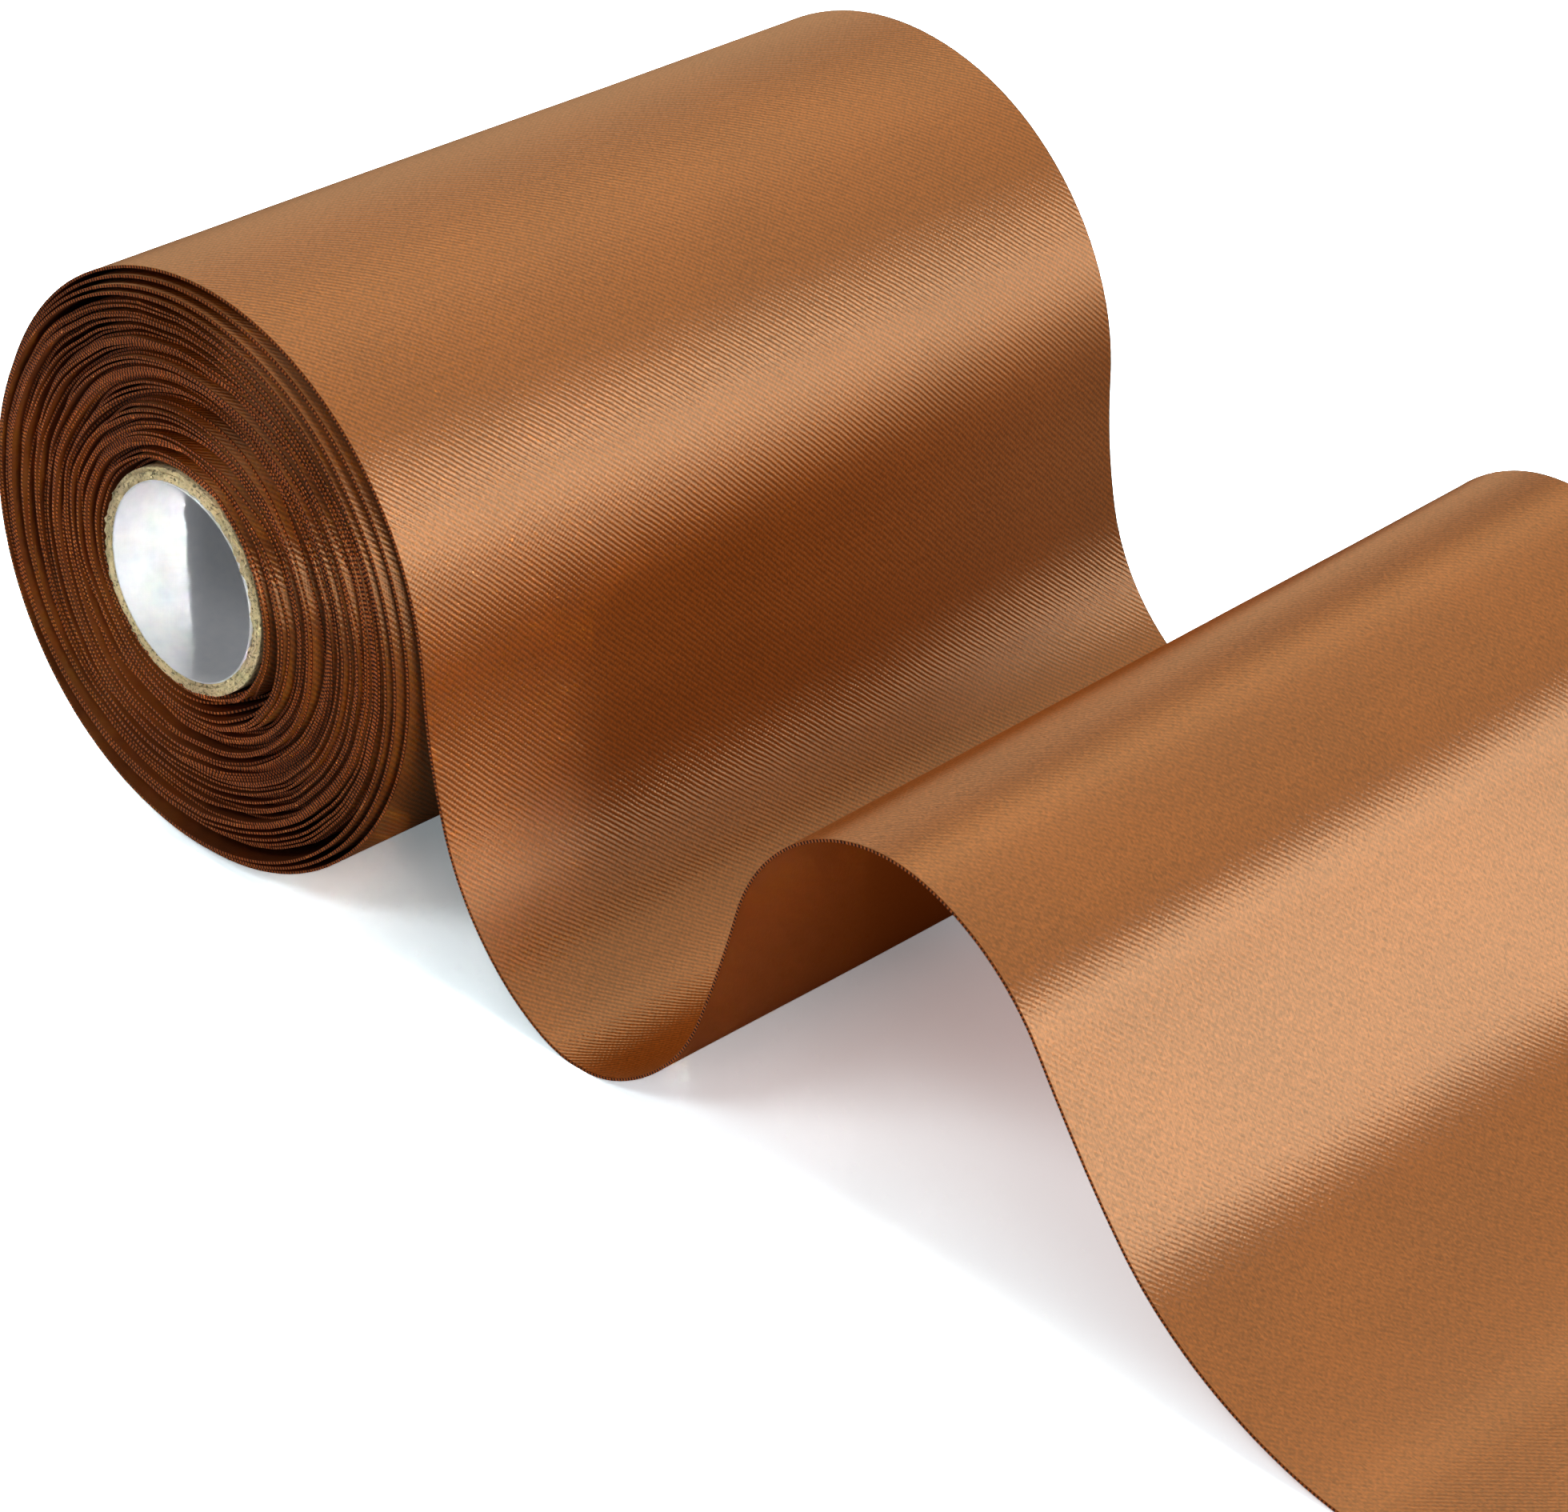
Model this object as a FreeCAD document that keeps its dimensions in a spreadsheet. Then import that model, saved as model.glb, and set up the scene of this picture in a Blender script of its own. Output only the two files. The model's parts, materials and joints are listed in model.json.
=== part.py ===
import FreeCAD, Part
import math
import os
import Sketcher

# A wide satin ribbon wound on a paperboard core, with its leading end drawn off in one
# wave. Millimetres. The origin is the centre of the core's bore, halfway along it: +Y runs
# along the bore, +X is the way the ribbon is drawn off, and +Z is up. The winding has slipped
# a little along the bore, so that the core stands proud of the outer turns at the -Y end.

doc = FreeCAD.newDocument("RibbonRoll")
sheet = doc.addObject("Spreadsheet::Sheet", "Sheet")

sizes = [
    ("ribbon_width", 100.0),      # cut width of the ribbon, edge to edge
    ("cloth_thickness", 0.25),    # one layer of satin
    ("turn_pitch", 0.33),         # one layer and the air under it
    ("core_length", 100.0),       # the tube is cut to the ribbon's width
    ("winding_slip", 1.8),        # how far the outer turns lie from the core, along +Y
    ("bore_diameter", 21.2),
    ("liner_thickness", 0.15),    # white glazed paper inside the bore
    ("ply_thickness", 0.45),      # each of the three paperboard plies
    ("tape_thickness", 0.1),      # adhesive strip that starts the winding
    ("tape_length", 76.0),
    ("tape_arc", 70.0),           # degrees of the core that the strip covers
    ("wound_diameter", 58.6),     # over the tight turns
    ("turning_gap", 0.3),         # between the tight turns and the loose ones round them
    ("roll_diameter", 65.0),      # over the loose turns
    ("slack_x", 1.5),             # how far the loose turns stand off the bore's centre
    ("slack_z", 0.6),
    ("leave_angle", 2.0),         # where the lead parts from the roll, degrees above +X
    ("tail_length", 58.0),        # flat on the table, up to the straight cut end
]

# The lead is a chain of even bends: the length along the cloth and the turn in degrees,
# upward positive. The drop is as long as brings the trough down to the table, and the fall
# as long as brings the foot down to it.
bends_in = [("drop", None, 13.0), ("heel", 15.0, 32.0), ("sole", 8.0, 19.0), ("dip", 5.6, 24.0)]
bends_out = [
    ("toe", 5.9, 25.0), ("lift", 16.0, 44.0), ("rise", 15.0, 6.0), ("shoulder", 18.0, -54.0),
    ("crest", 12.5, -40.0), ("brow", 17.0, -38.0), ("fall", None, 5.0), ("foot", 34.0, 52.0),
]

for name, length, turn in bends_in + bends_out:
    if length is not None:
        sizes.append((name + "_length", length))
    sizes.append((name + "_turn", turn))
for row, (alias, value) in enumerate(sizes, start=1):
    sheet.set("A%d" % row, alias)
    sheet.set("B%d" % row, "%g" % value)
    sheet.setAlias("B%d" % row, alias)
doc.recompute()


def size(alias):
    return float(sheet.get(alias))


def point(x, z):
    # a point of a profile: the sketch plane's own x is the row's X, and its y is the row's Z
    return FreeCAD.Vector(x, z, 0)


def polar(centre, radius, degrees):
    angle = math.radians(degrees)
    return centre + point(radius * math.cos(angle), radius * math.sin(angle))


# ---- bodies made from one profile, padded both ways from the mid plane ----

def new_body(node, slip="0"):
    # slip is an expression: how far the body's mid plane lies from the origin, along +Y
    body = doc.addObject("PartDesign::Body", node)
    body.Label = node
    profile = body.newObject("Sketcher::SketchObject", node + "_profile")
    planes = {plane.Role: plane for plane in body.Origin.OriginFeatures}
    profile.AttachmentSupport = [(planes["XZ_Plane"], "")]
    profile.MapMode = "FlatFace"
    profile.setExpression("AttachmentOffset.Base.z", "-(%s) * 1 mm" % slip)
    return body, profile


def pad_across(body, profile, width):
    pad = body.newObject("PartDesign::Pad", body.Name + "_pad")
    pad.Profile = profile
    pad.Midplane = True
    pad.setExpression("Length", width)


def tube(node, inner, outer, width, slip="0"):
    # a round tube about the bore's axis, its two diameters given as expressions
    body, profile = new_body(node, slip)
    for diameter in (inner, outer):
        start = size("roll_diameter")
        circle = profile.addGeometry(Part.Circle(point(0, 0), FreeCAD.Vector(0, 0, 1), start / 2))
        profile.addConstraint(Sketcher.Constraint("Coincident", circle, 3, -1, 1))
        index = profile.addConstraint(Sketcher.Constraint("Diameter", circle, start))
        profile.setExpression("Constraints[%d]" % index, diameter)
    pad_across(body, profile, width)


def strip(node, outlines, width, slip="0"):
    # a body whose closed outlines are worked out below
    body, profile = new_body(node, slip)
    for outline in outlines:
        for edge in outline:
            profile.addGeometry(edge)
    pad_across(body, profile, width)


def arc(centre, radius, start, end):
    # from one angle to another, in degrees, either way round
    middle = (start + end) / 2
    return Part.Arc(polar(centre, radius, start), polar(centre, radius, middle),
                    polar(centre, radius, end))


# ---- the core: a white liner, three plies and the strip that holds the ribbon's end ----

def core_diameter(plies):
    return "Sheet.bore_diameter + 2 * Sheet.liner_thickness + %d * Sheet.ply_thickness" % (2 * plies)


tube("bore_liner", "Sheet.bore_diameter", core_diameter(0), "Sheet.core_length")
for count, node in enumerate(("core_inner_ply", "core_middle_ply", "core_outer_ply")):
    tube(node, core_diameter(count), core_diameter(count + 1), "Sheet.core_length")

core_radius = size("bore_diameter") / 2 + size("liner_thickness") + 3 * size("ply_thickness")
tape_radius = core_radius + size("tape_thickness")
bore_centre = point(0, 0)
half_tape = size("tape_arc") / 2
tape_from = 90 - half_tape
tape_to = 90 + half_tape
strip("starter_tape", [[
    arc(bore_centre, tape_radius, tape_from, tape_to),
    Part.LineSegment(polar(bore_centre, tape_radius, tape_to), polar(bore_centre, core_radius, tape_to)),
    arc(bore_centre, core_radius, tape_to, tape_from),
    Part.LineSegment(polar(bore_centre, core_radius, tape_from), polar(bore_centre, tape_radius, tape_from)),
]], "Sheet.tape_length")

# ---- the ribbon on the roll ----

tube("wound_turns", core_diameter(3) + " + 2 * Sheet.tape_thickness", "Sheet.wound_diameter",
     "Sheet.ribbon_width", "Sheet.winding_slip / 2")

# The loose turns stand in for the last few turns, which have sprung away from the tight ones.
# Their outside is a spiral of two half circles, which leaves a step for the lead's root.
slack_centre = point(size("slack_x"), size("slack_z"))
outer_radius = size("roll_diameter") / 2
leave = size("leave_angle")
half_step = size("turn_pitch") / 2
lower_centre = polar(slack_centre, half_step, leave + 180)
lower_radius = outer_radius - half_step
inner_radius = size("wound_diameter") / 2 + size("turning_gap")
strip("loose_turns", [
    [
        arc(slack_centre, outer_radius, leave, leave + 180),
        arc(lower_centre, lower_radius, leave + 180, leave + 360),
        Part.LineSegment(polar(lower_centre, lower_radius, leave), polar(slack_centre, outer_radius, leave)),
    ],
    [Part.Circle(bore_centre, FreeCAD.Vector(0, 0, 1), inner_radius)],
], "Sheet.ribbon_width", "Sheet.winding_slip")

# ---- the lead: the cloth's middle line, and an outline half a thickness each side ----

half_cloth = size("cloth_thickness") / 2
table = lower_centre.y - lower_radius


def chord(heading, length, turn):
    # where an even bend ends, seen from its start
    half_turn = math.radians(turn) / 2
    across = length * math.sin(half_turn) / half_turn
    angle = math.radians(heading) + half_turn
    return point(across * math.cos(angle), across * math.sin(angle))


def level_lengths(bends, heading, descent):
    # the bends' lengths and turns, with the open length set so that they fall by descent
    known = []
    for name, length, turn in bends:
        known.append((None if length is None else size(name + "_length"), size(name + "_turn")))
    fixed_fall = 0.0
    open_fall = 1.0
    for length, turn in known:
        if length is None:
            open_fall = -chord(heading, 1.0, turn).y
        else:
            fixed_fall -= chord(heading, length, turn).y
        heading += turn
    open_length = (descent - fixed_fall) / open_fall
    return [(open_length if length is None else length, turn) for length, turn in known]


def offset_bend(start, heading, length, turn, side):
    # one even bend, moved sideways: side is positive to the left of the way it runs
    radius = length / math.radians(turn)
    centre = polar(start, radius, heading + 90)
    points = []
    for share in (0.0, 0.5, 1.0):
        points.append(polar(centre, radius - side, heading + share * turn - 90))
    return Part.Arc(*points)


root = polar(slack_centre, outer_radius - half_cloth, leave)
heading = leave - 90
trough_level = table + half_cloth
path = level_lengths(bends_in, heading, root.y - trough_level)
path += level_lengths(bends_out, heading + sum(turn for length, turn in path), 0.0)

upper = []
lower = []
place = root
for length, turn in path:
    upper.append(offset_bend(place, heading, length, turn, half_cloth))
    lower.append(offset_bend(place, heading, length, turn, -half_cloth))
    place = place + chord(heading, length, turn)
    heading += turn

touch_down = place
outline = upper + [Part.LineSegment(upper[-1].EndPoint, lower[-1].EndPoint)]
outline += lower[::-1] + [Part.LineSegment(lower[0].StartPoint, upper[0].StartPoint)]
strip("ribbon_lead", [outline], "Sheet.ribbon_width", "Sheet.winding_slip")

tail_end = touch_down.x + size("tail_length")
tail_corners = [
    point(touch_down.x, table), point(tail_end, table),
    point(tail_end, table + 2 * half_cloth), point(touch_down.x, table + 2 * half_cloth),
]
strip("ribbon_tail", [[
    Part.LineSegment(corner, tail_corners[(index + 1) % 4]) for index, corner in enumerate(tail_corners)
]], "Sheet.ribbon_width", "Sheet.winding_slip")

# ---- recompute, check and write ----

doc.recompute()
for thing in doc.Objects:
    if "Invalid" in thing.State or "Error" in thing.State:
        raise RuntimeError("%s did not compute: %s" % (thing.Label, thing.State))

os.makedirs("parts", exist_ok=True)
for body in doc.findObjects("PartDesign::Body"):
    shape = body.Shape
    if shape.isNull() or not shape.isValid() or len(shape.Solids) != 1:
        raise RuntimeError(body.Label + " is not one valid solid")
    shape.exportStep("parts/%s.step" % body.Label)
    box = shape.BoundBox
    print("%-16s volume %10.1f  x %7.2f %7.2f  y %7.2f %7.2f  z %7.2f %7.2f" % (
        body.Label, shape.Volume, box.XMin, box.XMax, box.YMin, box.YMax, box.ZMin, box.ZMax))
lead_length = sum(length for length, turn in path)
print("table at z %.2f, lead %.1f long, touching down at x %.2f" % (table, lead_length, touch_down.x))
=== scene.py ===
import json
import math

import bpy
import numpy as np
from mathutils import Matrix, Vector, noise


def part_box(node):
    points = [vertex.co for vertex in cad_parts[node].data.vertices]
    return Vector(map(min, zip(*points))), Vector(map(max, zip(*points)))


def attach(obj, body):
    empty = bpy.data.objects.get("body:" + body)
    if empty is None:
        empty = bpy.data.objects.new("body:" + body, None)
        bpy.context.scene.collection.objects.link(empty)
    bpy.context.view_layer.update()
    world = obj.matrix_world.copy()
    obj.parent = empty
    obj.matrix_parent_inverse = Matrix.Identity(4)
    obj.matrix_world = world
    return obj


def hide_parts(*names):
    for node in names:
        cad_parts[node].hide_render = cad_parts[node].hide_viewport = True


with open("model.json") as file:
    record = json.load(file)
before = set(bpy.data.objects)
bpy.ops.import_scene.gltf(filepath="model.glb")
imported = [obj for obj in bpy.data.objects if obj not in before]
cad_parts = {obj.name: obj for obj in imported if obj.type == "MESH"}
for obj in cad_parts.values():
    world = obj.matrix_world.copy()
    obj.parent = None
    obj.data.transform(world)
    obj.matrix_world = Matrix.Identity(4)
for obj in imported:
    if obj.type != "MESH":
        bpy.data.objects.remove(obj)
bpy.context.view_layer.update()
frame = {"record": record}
mm = 0.001
smoothAngle = math.radians(40)
scene = bpy.context.scene
scene.view_settings.view_transform = "Standard"
bpy.ops.object.select_all(action="DESELECT")

# what the CAD gives: the roll's size, the middle of its loose turns and the table it stands on
looseLow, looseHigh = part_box("loose_turns")
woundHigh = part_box("wound_turns")[1]
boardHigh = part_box("core_outer_ply")[1]
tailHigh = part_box("ribbon_tail")[1]
ribbonWidth = looseHigh.y - looseLow.y
table = looseLow.z
rollRadius = (looseHigh.x - looseLow.x) / 2
windingSlip = (looseHigh.y + looseLow.y) / 2      # the outer turns lie this far along from the core
slackMiddle = ((looseHigh.x + looseLow.x) / 2, (looseHigh.z + looseLow.z) / 2)

# place and aim in millimetres, tilt in degrees
camera = {"place": (353.2, -332.0, 242.5), "aim": (54.65, -19.35, -8.8), "tilt": 1.82, "lens": 117.0}


def setCamera():
    place = Vector(camera["place"]) * mm
    aim = Vector(camera["aim"]) * mm
    bpy.ops.object.camera_add(location=place)
    body = bpy.context.object
    body.rotation_euler = (aim - place).to_track_quat("-Z", "Y").to_euler()
    body.rotation_euler.rotate_axis("Z", math.radians(camera["tilt"]))
    body.data.lens = camera["lens"]
    body.data.clip_start = 0.01
    scene.camera = body


# strip boxes that run along the roll: angle above the table, height of the box in degrees,
# middle and length along the roll in metres, watts
stripBoxes = {
    "lowKey": (5.0, 10.0, -0.75, 0.9, 11.5),
    "highKey": (14.0, 11.0, -0.75, 0.9, 6.5),
    "farStrip": (28.0, 21.5, 0.9, 2.4, 23.0),
    "middleStrip": (54.0, 22.0, 0.9, 2.4, 7.0),
    "upperStrip": (81.0, 34.0, 0.9, 2.4, 11.4),
    "topStrip": (110.0, 24.0, 0.9, 2.4, 11.5),
    "leftStrip": (140.0, 30.0, 0.9, 2.4, 9.0),
    "lowLeftStrip": (163.0, 16.0, 0.9, 2.4, 8.0),
}
# square boxes on the near side: direction, width, height, watts
nearBoxes = {
    "topFront": ((-0.1, -0.6, 0.74), 1.0, 0.7, 5.0),
    "front": ((0.2, -0.9, 0.4), 1.0, 0.7, 2.6),
}
# a gridded lamp that looks into the bore's near end; spread in degrees
boreBox = {"direction": (0.88, -0.40, 0.10), "width": 0.05, "height": 0.05, "watts": 0.012, "spread": 3.0}
# the lamp behind is a little cooler than those above
lightTints = {"farStrip": (0.96, 1.09, 1.25), "middleStrip": (1.0, 0.95, 0.82),
              "upperStrip": (1.0, 0.95, 0.82), "topStrip": (1.0, 0.95, 0.82)}
lightDistance = 2.0
lightMiddle = Vector((0.05, 0.0, 0.0))


def areaLight(name, place, axes, width, height, watts):
    bpy.ops.object.light_add(type="AREA", location=place)
    lamp = bpy.context.object
    lamp.name = name
    lamp.rotation_euler = axes
    lamp.data.shape = "RECTANGLE"
    lamp.data.size = width
    lamp.data.size_y = height
    lamp.data.energy = watts
    lamp.data.color = lightTints.get(name, (1.0, 1.0, 1.0))
    lamp.visible_camera = False


def setLights():
    alongRoll = Vector((0.0, 1.0, 0.0))
    for name, (angle, height, middle, length, watts) in stripBoxes.items():
        towards = Vector((math.cos(math.radians(angle)), 0.0, math.sin(math.radians(angle))))
        axes = Matrix((alongRoll.cross(towards), alongRoll, towards)).transposed().to_euler()
        place = lightMiddle + towards * lightDistance + alongRoll * middle
        width = 2 * lightDistance * math.tan(math.radians(height / 2))
        areaLight(name, place, axes, width, length, watts)
    for name, (direction, width, height, watts) in nearBoxes.items():
        towards = Vector(direction).normalized()
        axes = towards.to_track_quat("Z", "Y").to_euler()
        areaLight(name, lightMiddle + towards * lightDistance, axes, width, height, watts)
    s = boreBox
    towards = Vector(s["direction"]).normalized()
    axes = towards.to_track_quat("Z", "Y").to_euler()
    areaLight("boreBox", Vector((0.0, looseLow.y, 0.0)) + towards * lightDistance, axes,
              s["width"], s["height"], s["watts"])
    bpy.context.object.data.spread = math.radians(s["spread"])
    # such a small lamp would glint on every ridge of the cloth
    bpy.context.object.visible_glossy = False
    # a white room for the camera, which lights nothing
    world = bpy.data.worlds.new("studio")
    scene.world = world
    world.use_nodes = True
    tree = world.node_tree
    path = tree.nodes.new("ShaderNodeLightPath")
    tree.nodes["Background"].inputs["Color"].default_value = (1.0, 1.0, 1.0, 1.0)
    tree.links.new(path.outputs["Is Camera Ray"], tree.nodes["Background"].inputs["Strength"])


def newMaterial(name):
    material = bpy.data.materials.new(name)
    material.use_nodes = True
    return material, material.node_tree, material.node_tree.nodes["Principled BSDF"]


def addNode(tree, kind, **values):
    made = tree.nodes.new(kind)
    for key, value in values.items():
        setattr(made, key, value)
    return made


def setInputs(made, **values):
    for key, value in values.items():
        made.inputs[key.replace("_", " ")].default_value = value


def math2(tree, operation, first, second):
    made = addNode(tree, "ShaderNodeMath", operation=operation)
    for index, value in enumerate((first, second)):
        if isinstance(value, (int, float)):
            made.inputs[index].default_value = value
        elif value is not None:
            tree.links.new(value, made.inputs[index])
    return made.outputs[0]


def mapRange(tree, value, low, high, toLow=0.0, toHigh=1.0):
    made = addNode(tree, "ShaderNodeMapRange", interpolation_type="SMOOTHSTEP")
    tree.links.new(value, made.inputs["Value"])
    for key, number in (("From Min", low), ("From Max", high), ("To Min", toLow), ("To Max", toHigh)):
        made.inputs[key].default_value = number
    return made.outputs[0]


def mixColors(tree, factor, first, second):
    made = addNode(tree, "ShaderNodeMix", data_type="RGBA")
    for key, value in (("Factor", factor), ("A", first), ("B", second)):
        socket = [s for s in made.inputs if s.name == key and (s.type == "RGBA") == (key != "Factor")][0]
        if isinstance(value, (tuple, float)):
            socket.default_value = value if isinstance(value, float) else (*value, 1.0)
        else:
            tree.links.new(value, socket)
    return [s for s in made.outputs if s.type == "RGBA"][0]


def noiseOf(tree, vector, scale, detail=2.0, roughness=0.5):
    made = addNode(tree, "ShaderNodeTexNoise")
    setInputs(made, Scale=scale, Detail=detail, Roughness=roughness)
    tree.links.new(vector, made.inputs["Vector"])
    return made.outputs["Fac"]


def bumpInto(tree, shader, height, distance):
    made = addNode(tree, "ShaderNodeBump")
    setInputs(made, Strength=1.0, Distance=distance)
    tree.links.new(height, made.inputs["Height"])
    tree.links.new(made.outputs["Normal"], shader.inputs["Normal"])


def newGroup(name, inputs, outputs):
    group = bpy.data.node_groups.new(name, "ShaderNodeTree")
    for label, kind, value in inputs:
        socket = group.interface.new_socket(name=label, in_out="INPUT", socket_type=kind)
        if value is not None:
            socket.default_value = value
    for label, kind in outputs:
        group.interface.new_socket(name=label, in_out="OUTPUT", socket_type=kind)
    start = group.nodes.new("NodeGroupInput")
    end = group.nodes.new("NodeGroupOutput")
    return group, start.outputs, end.inputs


# sizes in millimetres, slants in degrees
weave = {
    "pitch": 0.50, "slant": 45.0,               # from one slanted ridge to the next
    "crossPitch": 0.39, "crossSlant": -39.0,    # a fainter set that crosses them
    "drift": 0.9, "driftScale": 160.0,          # how the ridges wander
    "yarn": 0.16, "float": 0.9,                 # the streak of a single yarn, across and along
    "speckScale": 2600.0,
    # what each pattern adds to the height, and to the painted shade of ridges and valleys
    "ridgeHeight": 0.62, "crossHeight": 0.16, "grainHeight": 0.22, "speckHeight": 0.45,
    "ridgePaintedShade": 0.6, "crossPaintedShade": 0.2,
    "depth": 0.046, "backDepth": 0.02,
    # along the free ribbon, in metres from the tail's cut end backwards
    "slack": (-0.185, -0.150),                  # where the cloth goes slack
    "alone": (-0.205, -0.150),                  # where it begins to hang as a single cloth
    "relaxed": 0.35,                            # what is left of the ridges where it is slack
}
copper = {
    # face is the lit colour and valley a darker, shaded copy of it: painted shade in the weave's valleys
    "face": (0.50, 0.115, 0.0105),
    "valley": (0.235, 0.049, 0.0045),
    "lustre": (1.0, 0.95, 0.57, 1.0),
    "metal": 0.45,
    "roughness": (0.45, 0.35),
    "glint": 2.2,                               # how much the single yarns differ in tone
    "patch": 0.35, "patchScale": 60.0,          # broad patches
    "back": (0.17, 0.037, 0.004), "backShade": 0.8,
    # the next colour is a glow painted into the back of the single cloth, in place of light that comes
    # through it
    "paintedGlow": (0.060, 0.0105, 0.0004),         # what daylight comes through the single cloth
    # the two scales after the edge colour make a shaded and a lit copy of it: painted shade and painted
    # highlight on the selvedge loops
    "edge": (0.20, 0.050, 0.011), "edgePaintedShade": 0.22, "edgePaintedHighlight": 3.3,
    "rim": 0.13,                                # width of the dark last threads
    "loop": 0.45, "loopTone": 0.34,             # from one weft loop to the next, and how it shows
    "edgeDepth": 0.05,
}


def ridges(tree, across, along, pitch, slant, drift):
    # waves whose crests run at the slant from the ribbon's width, 0 to 1
    cosine = math2(tree, "COSINE", slant, None)
    sine = math2(tree, "SINE", slant, None)
    square = math2(tree, "SUBTRACT", math2(tree, "MULTIPLY", across, sine),
                   math2(tree, "MULTIPLY", along, cosine))
    count = math2(tree, "ADD", math2(tree, "DIVIDE", square, pitch), drift)
    wave = math2(tree, "SINE", math2(tree, "MULTIPLY", count, 2 * math.pi), None)
    return math2(tree, "MULTIPLY", math2(tree, "ADD", wave, 1.0), 0.5)


def weighted(tree, first, firstShare, second, secondShare):
    return math2(tree, "ADD", math2(tree, "MULTIPLY", first, firstShare),
                 math2(tree, "MULTIPLY", second, secondShare))


def weaveGroup():
    # slanted ridges of the satin's floats, beaded by a fainter set that crosses them, and the
    # fine streaks of the single yarns
    group, given, result = newGroup(
        "satinWeave",
        [("Cloth", "NodeSocketVector", None), ("Pitch", "NodeSocketFloat", 0.0005),
         ("Slant", "NodeSocketFloat", 0.785), ("Cross Pitch", "NodeSocketFloat", 0.0004),
         ("Cross Slant", "NodeSocketFloat", -0.68), ("Yarn", "NodeSocketFloat", 0.00016),
         ("Float", "NodeSocketFloat", 0.001), ("Tension", "NodeSocketFloat", 1.0)],
        [("Height", "NodeSocketFloat"), ("Ridge Painted Shade", "NodeSocketFloat"), ("Grain", "NodeSocketFloat")])
    split = addNode(group, "ShaderNodeSeparateXYZ")
    group.links.new(given["Cloth"], split.inputs[0])
    across, along = split.outputs[0], split.outputs[1]
    drift = math2(group, "MULTIPLY", noiseOf(group, given["Cloth"], weave["driftScale"]), weave["drift"])
    ridge = ridges(group, across, along, given["Pitch"], given["Slant"], drift)
    cross = ridges(group, across, along, given["Cross Pitch"], given["Cross Slant"], drift)
    yarns = addNode(group, "ShaderNodeCombineXYZ")
    group.links.new(math2(group, "DIVIDE", across, given["Yarn"]), yarns.inputs[0])
    group.links.new(math2(group, "DIVIDE", along, given["Float"]), yarns.inputs[1])
    grain = noiseOf(group, yarns.outputs[0], 1.0, 2.0, 0.6)
    speck = noiseOf(group, given["Cloth"], weave["speckScale"], 2.0, 0.6)
    lattice = weighted(group, ridge, weave["ridgeHeight"], cross, weave["crossHeight"])
    lattice = math2(group, "MULTIPLY", lattice, given["Tension"])
    loose = weighted(group, grain, weave["grainHeight"], speck, weave["speckHeight"])
    group.links.new(math2(group, "ADD", lattice, loose), result["Height"])
    # painted highlight on the ridges and painted shade in the valleys swing about a half, less where the
    # cloth is slack
    paintedShadeSwing = weighted(group, ridge, weave["ridgePaintedShade"], cross, weave["crossPaintedShade"])
    paintedShadeMiddle = (weave["ridgePaintedShade"] + weave["crossPaintedShade"]) / 2
    paintedShadeSwing = math2(group, "MULTIPLY", math2(group, "SUBTRACT", paintedShadeSwing, paintedShadeMiddle), given["Tension"])
    group.links.new(math2(group, "ADD", paintedShadeSwing, 0.5), result["Ridge Painted Shade"])
    group.links.new(math2(group, "MULTIPLY", math2(group, "ADD", grain, speck), 0.5), result["Grain"])
    return group


satinWeave = weaveGroup()


def clothCoordinates(tree):
    return addNode(tree, "ShaderNodeUVMap", uv_map="cloth").outputs[0]


def clothRun(tree, cloth):
    # how far along the cloth
    split = addNode(tree, "ShaderNodeSeparateXYZ")
    tree.links.new(cloth, split.inputs[0])
    return split.outputs[1]


def placeWeave(tree):
    # the ridges stand up where the cloth is wound or hangs tight, and sink in the wave
    cloth = clothCoordinates(tree)
    tension = mapRange(tree, clothRun(tree, cloth), *weave["slack"], 1.0, weave["relaxed"])
    made = addNode(tree, "ShaderNodeGroup")
    made.node_tree = satinWeave
    setInputs(made, Pitch=weave["pitch"] * mm, Slant=math.radians(weave["slant"]),
              Cross_Pitch=weave["crossPitch"] * mm, Cross_Slant=math.radians(weave["crossSlant"]),
              Yarn=weave["yarn"] * mm, Float=weave["float"] * mm)
    tree.links.new(cloth, made.inputs["Cloth"])
    tree.links.new(tension, made.inputs["Tension"])
    return made, cloth


def edgeMask(tree, cloth, reach):
    # 1 at the ribbon's two long edges, 0 further in than the reach
    split = addNode(tree, "ShaderNodeSeparateXYZ")
    tree.links.new(cloth, split.inputs[0])
    fromMiddle = math2(tree, "ABSOLUTE", math2(tree, "SUBTRACT", split.outputs[0], ribbonWidth / 2), None)
    return mapRange(tree, fromMiddle, ribbonWidth / 2 - reach, ribbonWidth / 2 - reach * 0.35)


def shade(color, amount):
    return tuple(channel * amount for channel in color)


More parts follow.
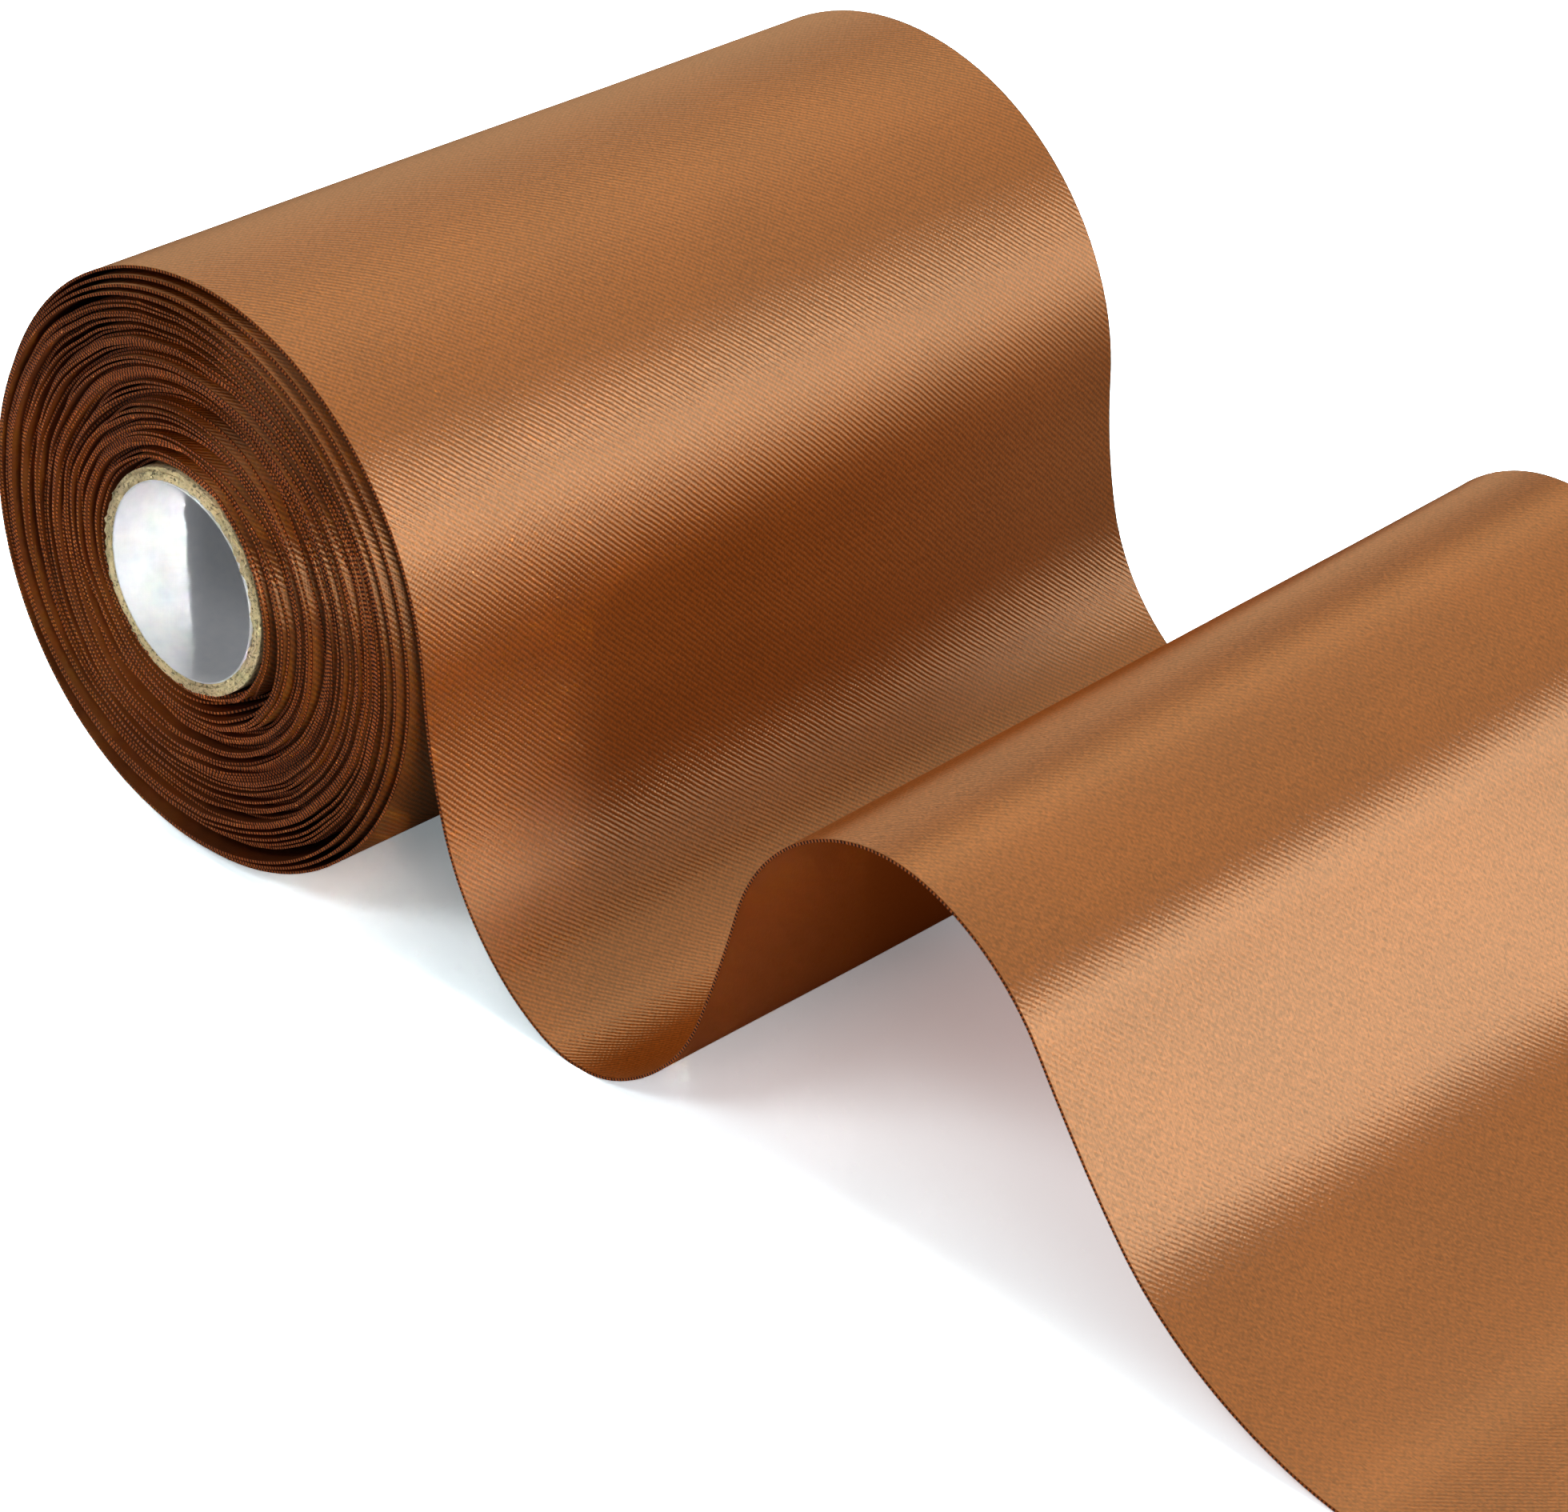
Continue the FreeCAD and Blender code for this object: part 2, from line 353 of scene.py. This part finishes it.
def satinFace():
    material, tree, shader = newMaterial("copperSatin")
    made, cloth = placeWeave(tree)
    # painted highlight on the ridges and painted shade in their valleys; single yarns also differ at
    # random in tone, which stands in for painted glints between duller ones
    glint = math2(tree, "MULTIPLY", math2(tree, "SUBTRACT", made.outputs["Grain"], 0.5), copper["glint"])
    patch = math2(tree, "SUBTRACT", noiseOf(tree, cloth, copper["patchScale"]), 0.5)
    patch = math2(tree, "MULTIPLY", patch, copper["patch"])
    yarnToneAndPaintedShade = math2(tree, "ADD", made.outputs["Ridge Painted Shade"], math2(tree, "ADD", glint, patch))
    # painted shade: the valley colour goes where the ridge pattern dips, the face colour on the ridges
    tone = mixColors(tree, mapRange(tree, yarnToneAndPaintedShade, 0.0, 1.0), copper["valley"], copper["face"])
    # the last warp threads are dark, like the selvedge itself
    rim = edgeMask(tree, cloth, copper["rim"] * mm)
    tree.links.new(mixColors(tree, rim, tone, copper["edge"]), shader.inputs["Base Color"])
    tree.links.new(mapRange(tree, rim, 0.0, 1.0, copper["metal"], 1.0), shader.inputs["Metallic"])
    rough = mapRange(tree, made.outputs["Grain"], 0.3, 0.7, *copper["roughness"])
    tree.links.new(rough, shader.inputs["Roughness"])
    setInputs(shader, IOR=3.0, Anisotropic=1.0, Specular_Tint=copper["lustre"])
    tangent = addNode(tree, "ShaderNodeTangent", direction_type="UV_MAP", uv_map="cloth")
    tree.links.new(tangent.outputs[0], shader.inputs["Tangent"])
    bumpInto(tree, shader, made.outputs["Height"], weave["depth"] * mm)
    return material


def satinBack():
    material, tree, shader = newMaterial("satinBack")
    made, cloth = placeWeave(tree)
    tone = mixColors(tree, mapRange(tree, made.outputs["Grain"], 0.2, 0.8), copper["back"],
                     shade(copper["back"], copper["backShade"]))
    tree.links.new(tone, shader.inputs["Base Color"])
    # painted glow where the cloth hangs by itself, standing in for light that comes through it
    alone = mapRange(tree, clothRun(tree, cloth), *weave["alone"])
    # painted glow: emission that stands in for light through the cloth
    paintedGlow = mixColors(tree, alone, (0.0, 0.0, 0.0), copper["paintedGlow"])
    tree.links.new(paintedGlow, shader.inputs["Emission Color"])
    setInputs(shader, Roughness=0.8, IOR=1.3, Emission_Strength=1.0)
    bumpInto(tree, shader, made.outputs["Grain"], weave["backDepth"] * mm)
    return material


def satinEdge():
    # the woven selvedge seen end on, a row of weft loops, with a painted highlight on each loop and
    # painted shade between them
    material, tree, shader = newMaterial("satinEdge")
    cloth = clothCoordinates(tree)
    wavesAlong = 2 * math.pi / (copper["loop"] * mm)
    loops = math2(tree, "SINE", math2(tree, "MULTIPLY", clothRun(tree, cloth), wavesAlong), None)
    streak = noiseOf(tree, cloth, 1500.0)
    blend = math2(tree, "ADD", math2(tree, "MULTIPLY", loops, copper["loopTone"]), streak)
    # painted light: lit and shaded copies of the edge colour follow the loops, with random streaks
    tone = mixColors(tree, mapRange(tree, blend, 0.25, 0.85), shade(copper["edge"], copper["edgePaintedShade"]),
                     shade(copper["edge"], copper["edgePaintedHighlight"]))
    tree.links.new(tone, shader.inputs["Base Color"])
    setInputs(shader, Roughness=0.6, IOR=1.35)
    bumpInto(tree, shader, blend, copper["edgeDepth"] * mm)
    return material


satin = [satinFace(), satinBack(), satinEdge()]
print("satin materials made")


def clothStrip(name, stations, across, thickness, selvedge, bend, tailGap=0.0):
    # stations: middle line points (x, z), distance along the cloth, shift along the roll
    # bend: how far a point is moved in x, in z and off the cloth's face
    # tailGap: how much cloth there is between the strip's end and the cut end
    rows = len(stations)
    columns = len(across)
    bpy.ops.mesh.primitive_grid_add(x_subdivisions=columns - 1, y_subdivisions=rows - 1, size=1.0)
    strip = bpy.context.object
    strip.name = name
    strip.data.name = name
    place = np.array([[s["x"], s["z"]] for s in stations])
    run = np.gradient(place, axis=0)
    run /= np.linalg.norm(run, axis=1)[:, None]
    sideways = np.stack([-run[:, 1], run[:, 0]], axis=1)
    width = np.array(across) * ribbonWidth
    points = np.zeros((rows, columns, 3))
    for column, offset in enumerate(width):
        lift = np.array([bend(station, offset) for station in stations])
        points[:, column, 0] = place[:, 0] + lift[:, 0] + sideways[:, 0] * lift[:, 2]
        points[:, column, 1] = offset + np.array([s["shift"] for s in stations])
        points[:, column, 2] = place[:, 1] + lift[:, 1] + sideways[:, 1] * lift[:, 2]
    floor = table + thickness / 2
    points[:, :, 2] = np.maximum(points[:, :, 2], floor)
    strip.data.vertices.foreach_set("co", points.reshape(-1))
    cloth = strip.data.uv_layers[0]
    cloth.name = "cloth"
    corner = np.zeros(len(strip.data.loops), np.int32)
    strip.data.loops.foreach_get("vertex_index", corner)
    flat = np.zeros((rows, columns, 2))
    flat[:, :, 0] = width[None, :] + ribbonWidth / 2
    flat[:, :, 1] = (np.array([s["along"] for s in stations]) - stations[-1]["along"] - tailGap)[:, None]
    cloth.data.foreach_set("uv", flat.reshape(-1, 2)[corner].reshape(-1))
    strip.data.update()
    # the satin face looks to the left of the way the ribbon runs
    middle = strip.data.polygons[len(strip.data.polygons) // 2]
    row = middle.vertices[0] // columns
    if middle.normal.x * sideways[row, 0] + middle.normal.z * sideways[row, 1] < 0:
        bpy.ops.object.mode_set(mode="EDIT")
        bpy.ops.mesh.select_all(action="SELECT")
        bpy.ops.mesh.flip_normals()
        bpy.ops.object.mode_set(mode="OBJECT")
    for material in satin:
        strip.data.materials.append(material)
    # the selvedges are woven a little thicker than the cloth between them
    group = strip.vertex_groups.new(name="body")
    rim = ribbonWidth / 2 - selvedge["width"]
    for column, offset in enumerate(width):
        share = 1.0 if abs(offset) > rim else thickness / selvedge["thickness"]
        group.add([row * columns + column for row in range(rows)], share, "REPLACE")
    wall = strip.modifiers.new("thickness", "SOLIDIFY")
    wall.thickness = selvedge["thickness"]
    wall.offset = 0.0
    wall.vertex_group = "body"
    wall.material_offset = 1
    wall.material_offset_rim = 2
    bpy.ops.object.modifier_apply(modifier="thickness")
    bpy.ops.object.shade_smooth_by_angle(angle=smoothAngle)
    strip.select_set(False)
    return strip


def polarPoint(radius, degrees):
    return radius * math.cos(math.radians(degrees)), radius * math.sin(math.radians(degrees))


def wander(value, seed):
    return noise.noise(Vector((value, seed * 7.31, seed * 3.17)))


freeRibbon = {
    "thickness": 0.25,
    "turns": 3.6, "perTurn": 120, "leave": 2.0, "turningGap": 0.3,
    "tuck": 1.3, "tuckTurns": 0.3,    # how far the first end is pushed in between its neighbours
    "innerSlip": 0.1,      # how far the first of these turns lies from the core, along the roll
    "slackSide": 10.0,     # where round the roll the slack gathers, in degrees
    "wideOuter": 0.4,      # how much wider apart the outer turns stand where there is slack
    "uneven": 0.05, "sideways": 0.35,
    "ripple": 0.16,        # soft unevenness of the lead
    "rippleRise": 0.15,    # over what length of cloth it sets in, in metres
    "step": 1.25, "tailStep": 2.4,
    "columns": (0.0, 0.35, 0.8, 1.6, 3.0, 5.0, 8.0, 12.0, 17.0, 23.0, 29.5, 36.5, 43.5, 50.0),
    "selvedge": {"width": 0.7 * mm, "thickness": 0.29 * mm},
    # the lead's bends: length in millimetres and turn in degrees, upward positive; one length
    # in each row is open, and comes out of how far the cloth has to go down
    "bendsIn": [(None, 13.0), (15.0, 32.0), (8.0, 19.0), (5.6, 24.0)],
    "bendsOut": [(5.9, 25.0), (16.0, 44.0), (15.0, 6.0), (18.0, -54.0), (12.5, -40.0),
                 (17.0, -38.0), (None, 5.0), (34.0, 52.0)],
}


def acrossFrom(edgeDistances):
    half = [d * mm / ribbonWidth - 0.5 for d in edgeDistances]
    return half + [-value for value in half[-2::-1]]


def chord(heading, length, turn):
    half = math.radians(turn) / 2
    reach = length * math.sin(half) / half
    angle = math.radians(heading) + half
    return reach * math.cos(angle), reach * math.sin(angle)


def closeBends(bends, heading, descent):
    # the open length is whatever brings the chain down by the descent
    fall = 0.0
    openFall = 1.0
    for length, turn in bends:
        if length is None:
            openFall = -chord(heading, 1.0, turn)[1]
        else:
            fall -= chord(heading, length * mm, turn)[1]
        heading += turn
    openLength = (descent - fall) / openFall
    return [(openLength if length is None else length * mm, turn) for length, turn in bends]


def looseStations():
    s = freeRibbon
    innerRadius = woundHigh.x + (s["turningGap"] + s["thickness"] / 2) * mm
    outerRadius = rollRadius - s["thickness"] / 2 * mm
    stations = []
    along = 0.0
    for index in range(round(s["turns"] * s["perTurn"])):
        left = s["turns"] - index / s["perTurn"]
        degrees = s["leave"] + 360.0 * left
        turnX, turnZ = polarPoint(1.0, degrees)
        towards = slackMiddle[0] * turnX + slackMiddle[1] * turnZ
        squared = slackMiddle[0] ** 2 + slackMiddle[1] ** 2
        outer = towards + math.sqrt(outerRadius ** 2 - squared + towards ** 2)
        slack = 0.5 + 0.5 * math.cos(math.radians(degrees - s["slackSide"]))
        share = left / s["turns"]
        share += s["wideOuter"] * slack * (share - share * share)
        share += s["uneven"] * slack * math.sin(math.pi * left / s["turns"]) * wander(left * 1.7, 1)
        radius = outer + (innerRadius - outer) * share
        x, z = polarPoint(radius, degrees)
        if stations:
            along += math.hypot(x - stations[-1]["x"], z - stations[-1]["z"])
        slip = windingSlip + (s["innerSlip"] * mm - windingSlip) * left / s["turns"]
        shift = slip + s["sideways"] * mm * wander(left * 1.1, 2) * min(1.0, left)
        shift += s["tuck"] * mm * max(0.0, 1.0 - (s["turns"] - left) / s["tuckTurns"]) ** 2
        stations.append({"x": x, "z": z, "along": along, "shift": shift})
    return stations


def leadStations(start, along):
    s = freeRibbon
    x, z = start
    heading = s["leave"] - 90.0
    trough = table + s["thickness"] / 2 * mm
    path = closeBends(s["bendsIn"], heading, z - trough)
    path += closeBends(s["bendsOut"], heading + sum(turn for length, turn in path), 0.0)
    stations = []
    for length, turn in path:
        count = max(2, round(length / (s["step"] * mm)))
        for piece in range(count):
            stations.append({"x": x, "z": z, "along": along, "shift": windingSlip})
            moveX, moveZ = chord(heading, length / count, turn / count)
            x += moveX
            z += moveZ
            heading += turn / count
            along += length / count
    count = round((tailHigh.x - x) / (s["tailStep"] * mm))
    for piece in range(count + 1):
        share = piece / count
        stations.append({"x": x + (tailHigh.x - x) * share, "z": z,
                         "along": along + (tailHigh.x - x) * share, "shift": windingSlip})
    return stations


def hump(value, middle, reach):
    # 1 at the middle, easing to 0 at the reach on either side
    gap = abs(value - middle) / reach
    return 0.5 + 0.5 * math.cos(math.pi * gap) if gap < 1.0 else 0.0


# where the lead is not the same right across, along the lead and in millimetres:
# middle, reach, then out along +X and up at the near edge, then at the far edge
swings = [
    (24.0, 34.0, 0.9, 0.0, -0.8, 0.0),        # the drop hangs further out at the near edge
    (97.0, 46.0, 0.0, 0.0, -0.8, 2.3),        # the crest is higher at the far edge
    (163.0, 22.0, 0.0, 0.5, 0.0, 0.5),        # the foot comes down slowly
]


def swing(distance, across):
    share = across / ribbonWidth + 0.5
    moveX = moveZ = 0.0
    for middle, reach, nearX, nearZ, farX, farZ in swings:
        amount = hump(distance / mm, middle, reach) * mm
        moveX += amount * (nearX + (farX - nearX) * share)
        moveZ += amount * (nearZ + (farZ - nearZ) * share)
    return moveX, moveZ


def ripple(along, across, strength):
    # long soft waves in the cloth, in metres
    first = noise.noise(Vector((along * 30.0 + across * 12.0, across * 20.0, 4.0)))
    second = noise.noise(Vector((along * 80.0, across * 45.0, 9.0)))
    return strength * mm * (first + 0.35 * second)


def makeFreeRibbon():
    s = freeRibbon
    loose = looseStations()
    outerRadius = rollRadius - s["thickness"] / 2 * mm
    rootX, rootZ = polarPoint(outerRadius, s["leave"])
    root = (slackMiddle[0] + rootX, slackMiddle[1] + rootZ)
    last = loose[-1]
    along = last["along"] + math.hypot(root[0] - last["x"], root[1] - last["z"])
    stations = loose + leadStations(root, along)

    def bend(station, across):
        # only the outermost turn and the lead are free enough to be uneven
        strength = s["ripple"] * min(1.0, max(0.0, (station["along"] - along) / s["rippleRise"] + 1.2))
        moveX, moveZ = swing(station["along"] - along, across)
        return moveX, moveZ, ripple(station["along"], across, strength)

    ribbon = clothStrip("freeRibbon", stations, acrossFrom(s["columns"]), s["thickness"] * mm,
                        s["selvedge"], bend)
    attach(ribbon, "free_ribbon")
    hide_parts("loose_turns", "ribbon_lead", "ribbon_tail")
    print("free ribbon, %.0f mm of cloth" % (stations[-1]["along"] / mm))
    return ribbon


woundRibbon = {
    "thickness": 0.22, "perTurn": 90, "turns": 52, "tape": 0.1,
    "columns": (0.0, 0.6, 2.5, 7.0, 50.0),
    "selvedge": {"width": 0.7 * mm, "thickness": 0.245 * mm},
    "end": 218.0,          # where the outermost turn ends, in degrees
    "coreGap": 0.03,       # between the tape and the first turn
    "airFloor": 0.05,      # how slack a turn has to be before it stands off
    "outerSlip": 0.4,
    "tuck": 1.0, "tuckTurns": 0.3,    # how far the outer end is pushed in between its neighbours
    "bundleTurns": 5.0,    # turns that lie together, with a valley before the next ones
    "bundleDrift": 0.9,    # how unequal the bundles are
    "valley": 2.2,         # how deep the valleys are
    "depth": 0.75, "depthSwing": 0.9,    # and how that changes round the roll
    "bundle": 0.55,        # sideways stagger of the bundles
    "jitter": 0.08,        # and of the single turns
    "flutter": 0.20,       # waviness of the edges
    "flutterReach": 7.0,
    "tailGap": 1.0,        # cloth between its end and the tail's cut end, in metres, so all of it is tight
}
noiseGain = 1.8            # brings smooth noise up to about -1 to 1


def around(turn, degrees, seed, turnScale, reach):
    # a value that runs on from turn to turn and changes slowly round each of them
    x, z = polarPoint(reach, degrees)
    return noise.noise(Vector((turn * turnScale + seed * 11.7, x + seed, z)))


def woundStations():
    s = woundRibbon
    count = s["turns"] * s["perTurn"]
    wall = s["selvedge"]["thickness"]
    innerRadius = boardHigh.x + s["tape"] * mm + wall / 2 + s["coreGap"] * mm
    outerRadius = woundHigh.x - wall / 2
    turns = [index / s["perTurn"] for index in range(count + 1)]
    angles = [s["end"] - 360.0 * (turn - s["turns"]) for turn in turns]
    # some turns lie close and some stand off, so that the end shows bundles with gaps between
    air = np.array([max(0.0, around(turn, angle, 5, 0.47, 0.45) - s["airFloor"]) ** 1.2
                    * min(1.0, turn, s["turns"] - turn) for turn, angle in zip(turns, angles)])
    # every direction round the core gets the same air in all
    share = np.array([air[phase::s["perTurn"]].sum() for phase in range(s["perTurn"])])
    air /= share[np.arange(count + 1) % s["perTurn"]] / share.mean()
    tight = wall * 1.01

    def radiiFor(amount):
        radii = np.zeros(count + 1)
        for index in range(count + 1):
            before = radii[index - s["perTurn"]] if index >= s["perTurn"] else \
                innerRadius - (tight + amount * air[s["perTurn"]]) * (1 - index / s["perTurn"])
            radii[index] = before + tight + amount * air[index]
        return radii

    # the air is shared out so that the last turn just fills the room
    low, high = 0.0, 0.02
    for step in range(40):
        amount = (low + high) / 2
        if radiiFor(amount)[-s["perTurn"]:].max() > outerRadius:
            high = amount
        else:
            low = amount
    radii = radiiFor(low)
    stations = []
    along = 0.0
    for turn, angle, radius in zip(turns, angles, radii):
        x, z = polarPoint(radius, angle)
        if stations:
            along += math.hypot(x - stations[-1]["x"], z - stations[-1]["z"])
        slip = s["outerSlip"] * (radius - radii[0]) / (radii[-1] - radii[0])
        phase = turn / s["bundleTurns"] + s["bundleDrift"] * around(turn, angle, 9, 0.11, 0.45)
        depth = max(0.0, s["depth"] + s["depthSwing"] * around(turn, angle, 12, 0.23, 0.9))
        stagger = s["valley"] * depth * abs(math.cos(math.pi * phase)) ** 3
        stagger += s["bundle"] * noiseGain * around(turn, angle, 6, 0.31, 0.30)
        stagger += s["jitter"] * noiseGain * around(turn, angle, 7, 1.27, 0.40)
        stagger += s["tuck"] * max(0.0, 1.0 - (s["turns"] - turn) / s["tuckTurns"]) ** 2
        stations.append({"x": x, "z": z, "along": along, "shift": (slip + stagger) * mm})
    return stations


def makeWoundRibbon():
    s = woundRibbon
    stations = woundStations()

    def bend(station, across):
        # the same waviness in neighbouring turns, so that they stay clear of each other
        edge = max(0.0, 1.0 - (ribbonWidth / 2 - abs(across)) / (s["flutterReach"] * mm))
        x, z = station["x"] / mm, station["z"] / mm
        wave = noise.noise(Vector((x * 0.22, z * 0.22, 3.0 if across < 0 else 8.0)))
        return 0.0, 0.0, s["flutter"] * mm * edge * wave

    ribbon = clothStrip("woundRibbon", stations, acrossFrom(s["columns"]), s["thickness"] * mm,
                        s["selvedge"], bend, s["tailGap"])
    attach(ribbon, "roll")
    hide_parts("wound_turns")
    print("wound ribbon, %.2f m of cloth" % stations[-1]["along"])
    return ribbon


core = {
    "sides": 192,
    "rings": (0.25, 0.8, 2.0),      # cuts near the ends, from the end inwards
    # each ply's node and how far its ends stand out, then how ragged they are
    "plies": {"boardInner": ("core_inner_ply", 0.0), "boardMiddle": ("core_middle_ply", 0.12),
              "boardOuter": ("core_outer_ply", -0.05)},
    "ragged": 0.30,
    "linerOut": 0.12, "linerRagged": 0.05,
}


def boardMaterial():
    material, tree, shader = newMaterial("coreBoard")
    place = addNode(tree, "ShaderNodeTexCoord").outputs["Object"]
    fibres = noiseOf(tree, place, 2600.0, 4.0, 0.65)
    blotch = noiseOf(tree, place, 500.0, 3.0)
    tone = mixColors(tree, mapRange(tree, fibres, 0.34, 0.52), (0.13, 0.105, 0.05), (0.80, 0.66, 0.38))
    tone = mixColors(tree, mapRange(tree, blotch, 0.35, 0.75, 0.0, 0.5), tone, (0.62, 0.53, 0.30))
    tree.links.new(tone, shader.inputs["Base Color"])
    setInputs(shader, Roughness=0.92)
    bumpInto(tree, shader, fibres, 0.12 * mm)
    return material


def linerMaterial():
    material, tree, shader = newMaterial("glazedLiner")
    place = addNode(tree, "ShaderNodeTexCoord").outputs["Object"]
    pulp = noiseOf(tree, place, 900.0, 3.0)
    tone = mixColors(tree, mapRange(tree, pulp, 0.3, 0.7), (0.88, 0.90, 0.93), (0.93, 0.94, 0.96))
    tree.links.new(tone, shader.inputs["Base Color"])
    tree.links.new(mapRange(tree, pulp, 0.3, 0.7, 0.34, 0.42), shader.inputs["Roughness"])
    setInputs(shader, Coat_Weight=0.3, Coat_Roughness=0.25)
    bumpInto(tree, shader, noiseOf(tree, place, 220.0, 2.0), 0.03 * mm)
    return material


def tapeMaterial():
    material, tree, shader = newMaterial("starterTape")
    place = addNode(tree, "ShaderNodeTexCoord").outputs["Object"]
    smear = noiseOf(tree, place, 160.0, 2.0)
    tone = mixColors(tree, mapRange(tree, smear, 0.3, 0.7), (0.62, 0.56, 0.40), (0.72, 0.67, 0.52))
    tree.links.new(tone, shader.inputs["Base Color"])
    setInputs(shader, Roughness=0.22, Coat_Weight=0.6, Coat_Roughness=0.1)
    bumpInto(tree, shader, noiseOf(tree, place, 700.0, 2.0), 0.01 * mm)
    return material


def coreTube(name, node, wall, material, seed, endShift, uneven):
    # a thin tube with its ends cut a little roughly
    s = core
    low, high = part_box(node)
    bpy.ops.mesh.primitive_cylinder_add(vertices=s["sides"], radius=high.x, depth=high.y - low.y,
                                        end_fill_type="NOTHING", rotation=(math.pi / 2, 0.0, 0.0),
                                        location=(0.0, (low.y + high.y) / 2, 0.0))
    tube = bpy.context.object
    tube.name = name
    tube.data.name = name
    bpy.ops.object.transform_apply(location=True, rotation=True, scale=True)
    bpy.ops.object.mode_set(mode="EDIT")
    for inwards in s["rings"]:
        for cut in (low.y + inwards * mm, high.y - inwards * mm):
            bpy.ops.mesh.select_all(action="SELECT")
            bpy.ops.mesh.bisect(plane_co=(0.0, cut, 0.0), plane_no=(0.0, 1.0, 0.0))
    bpy.ops.mesh.select_all(action="SELECT")
    bpy.ops.mesh.normals_make_consistent(inside=False)
    bpy.ops.object.mode_set(mode="OBJECT")
    solid = tube.modifiers.new("wall", "SOLIDIFY")
    solid.thickness = wall
    solid.offset = -1.0
    bpy.ops.object.modifier_apply(modifier="wall")
    reach = s["rings"][-1] * mm
    for vertex in tube.data.vertices:
        place = vertex.co
        side = -1.0 if place.y < 0 else 1.0
        toEnd = max(0.0, 1.0 - (high.y - abs(place.y)) / reach)
        if toEnd > 0.0:
            flat = Vector((place.x / mm * 0.9, place.z / mm * 0.9, seed * 5.0 + side))
            fine = Vector((place.x / mm * 3.1, place.z / mm * 3.1, seed * 5.0 + side))
            ragged = noise.noise(flat) + 0.7 * noise.noise(fine)
            place.y += toEnd ** 3 * side * (endShift + uneven * ragged) * mm
    tube.data.materials.append(material)
    bpy.ops.object.shade_smooth_by_angle(angle=smoothAngle)
    tube.select_set(False)
    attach(tube, "roll")
    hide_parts(node)
    return tube


def makeCore():
    s = core
    board = boardMaterial()
    wall = boardHigh.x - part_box("core_middle_ply")[1].x
    for seed, (name, (node, endShift)) in enumerate(s["plies"].items(), 1):
        coreTube(name, node, wall, board, seed, endShift, s["ragged"])
    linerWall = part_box("bore_liner")[1].x - frame["record"]["mounts"][0]["dims"]["r_mm"] * mm
    coreTube("boreLiner", "bore_liner", linerWall, linerMaterial(), 9, s["linerOut"],
             s["linerRagged"])
    tape = bpy.data.objects["starter_tape"]
    tape.data.materials.clear()
    tape.data.materials.append(tapeMaterial())
    print("core, liner and tape made")


tableTop = {
    "size": 4.0,
    "throws": (0.30, 0.30, 0.30),          # what it throws back at the ribbon
    "shows": (3.18, 3.60, 3.76),           # how pale it looks
    "glow": (0.88, 1.0, 1.05, 1.0), "glowStrength": 0.20,
}


def makeFloor():
    s = tableTop
    bpy.ops.mesh.primitive_plane_add(size=s["size"], location=(0.0, 0.0, table))
    floor = bpy.context.object
    floor.name = "floor"
    material, tree, shader = newMaterial("paleFloor")
    setInputs(shader, Roughness=0.9)
    # the table looks pale but throws little light back under the ribbon
    path = addNode(tree, "ShaderNodeLightPath")
    tone = mixColors(tree, path.outputs["Is Camera Ray"], s["throws"], s["shows"])
    tree.links.new(tone, shader.inputs["Base Color"])
    glow = math2(tree, "MULTIPLY", path.outputs["Is Camera Ray"], s["glowStrength"])
    tree.links.new(glow, shader.inputs["Emission Strength"])
    setInputs(shader, Emission_Color=s["glow"])
    floor.data.materials.append(material)


setCamera()
setLights()
makeFloor()
makeFreeRibbon()
makeWoundRibbon()
makeCore()
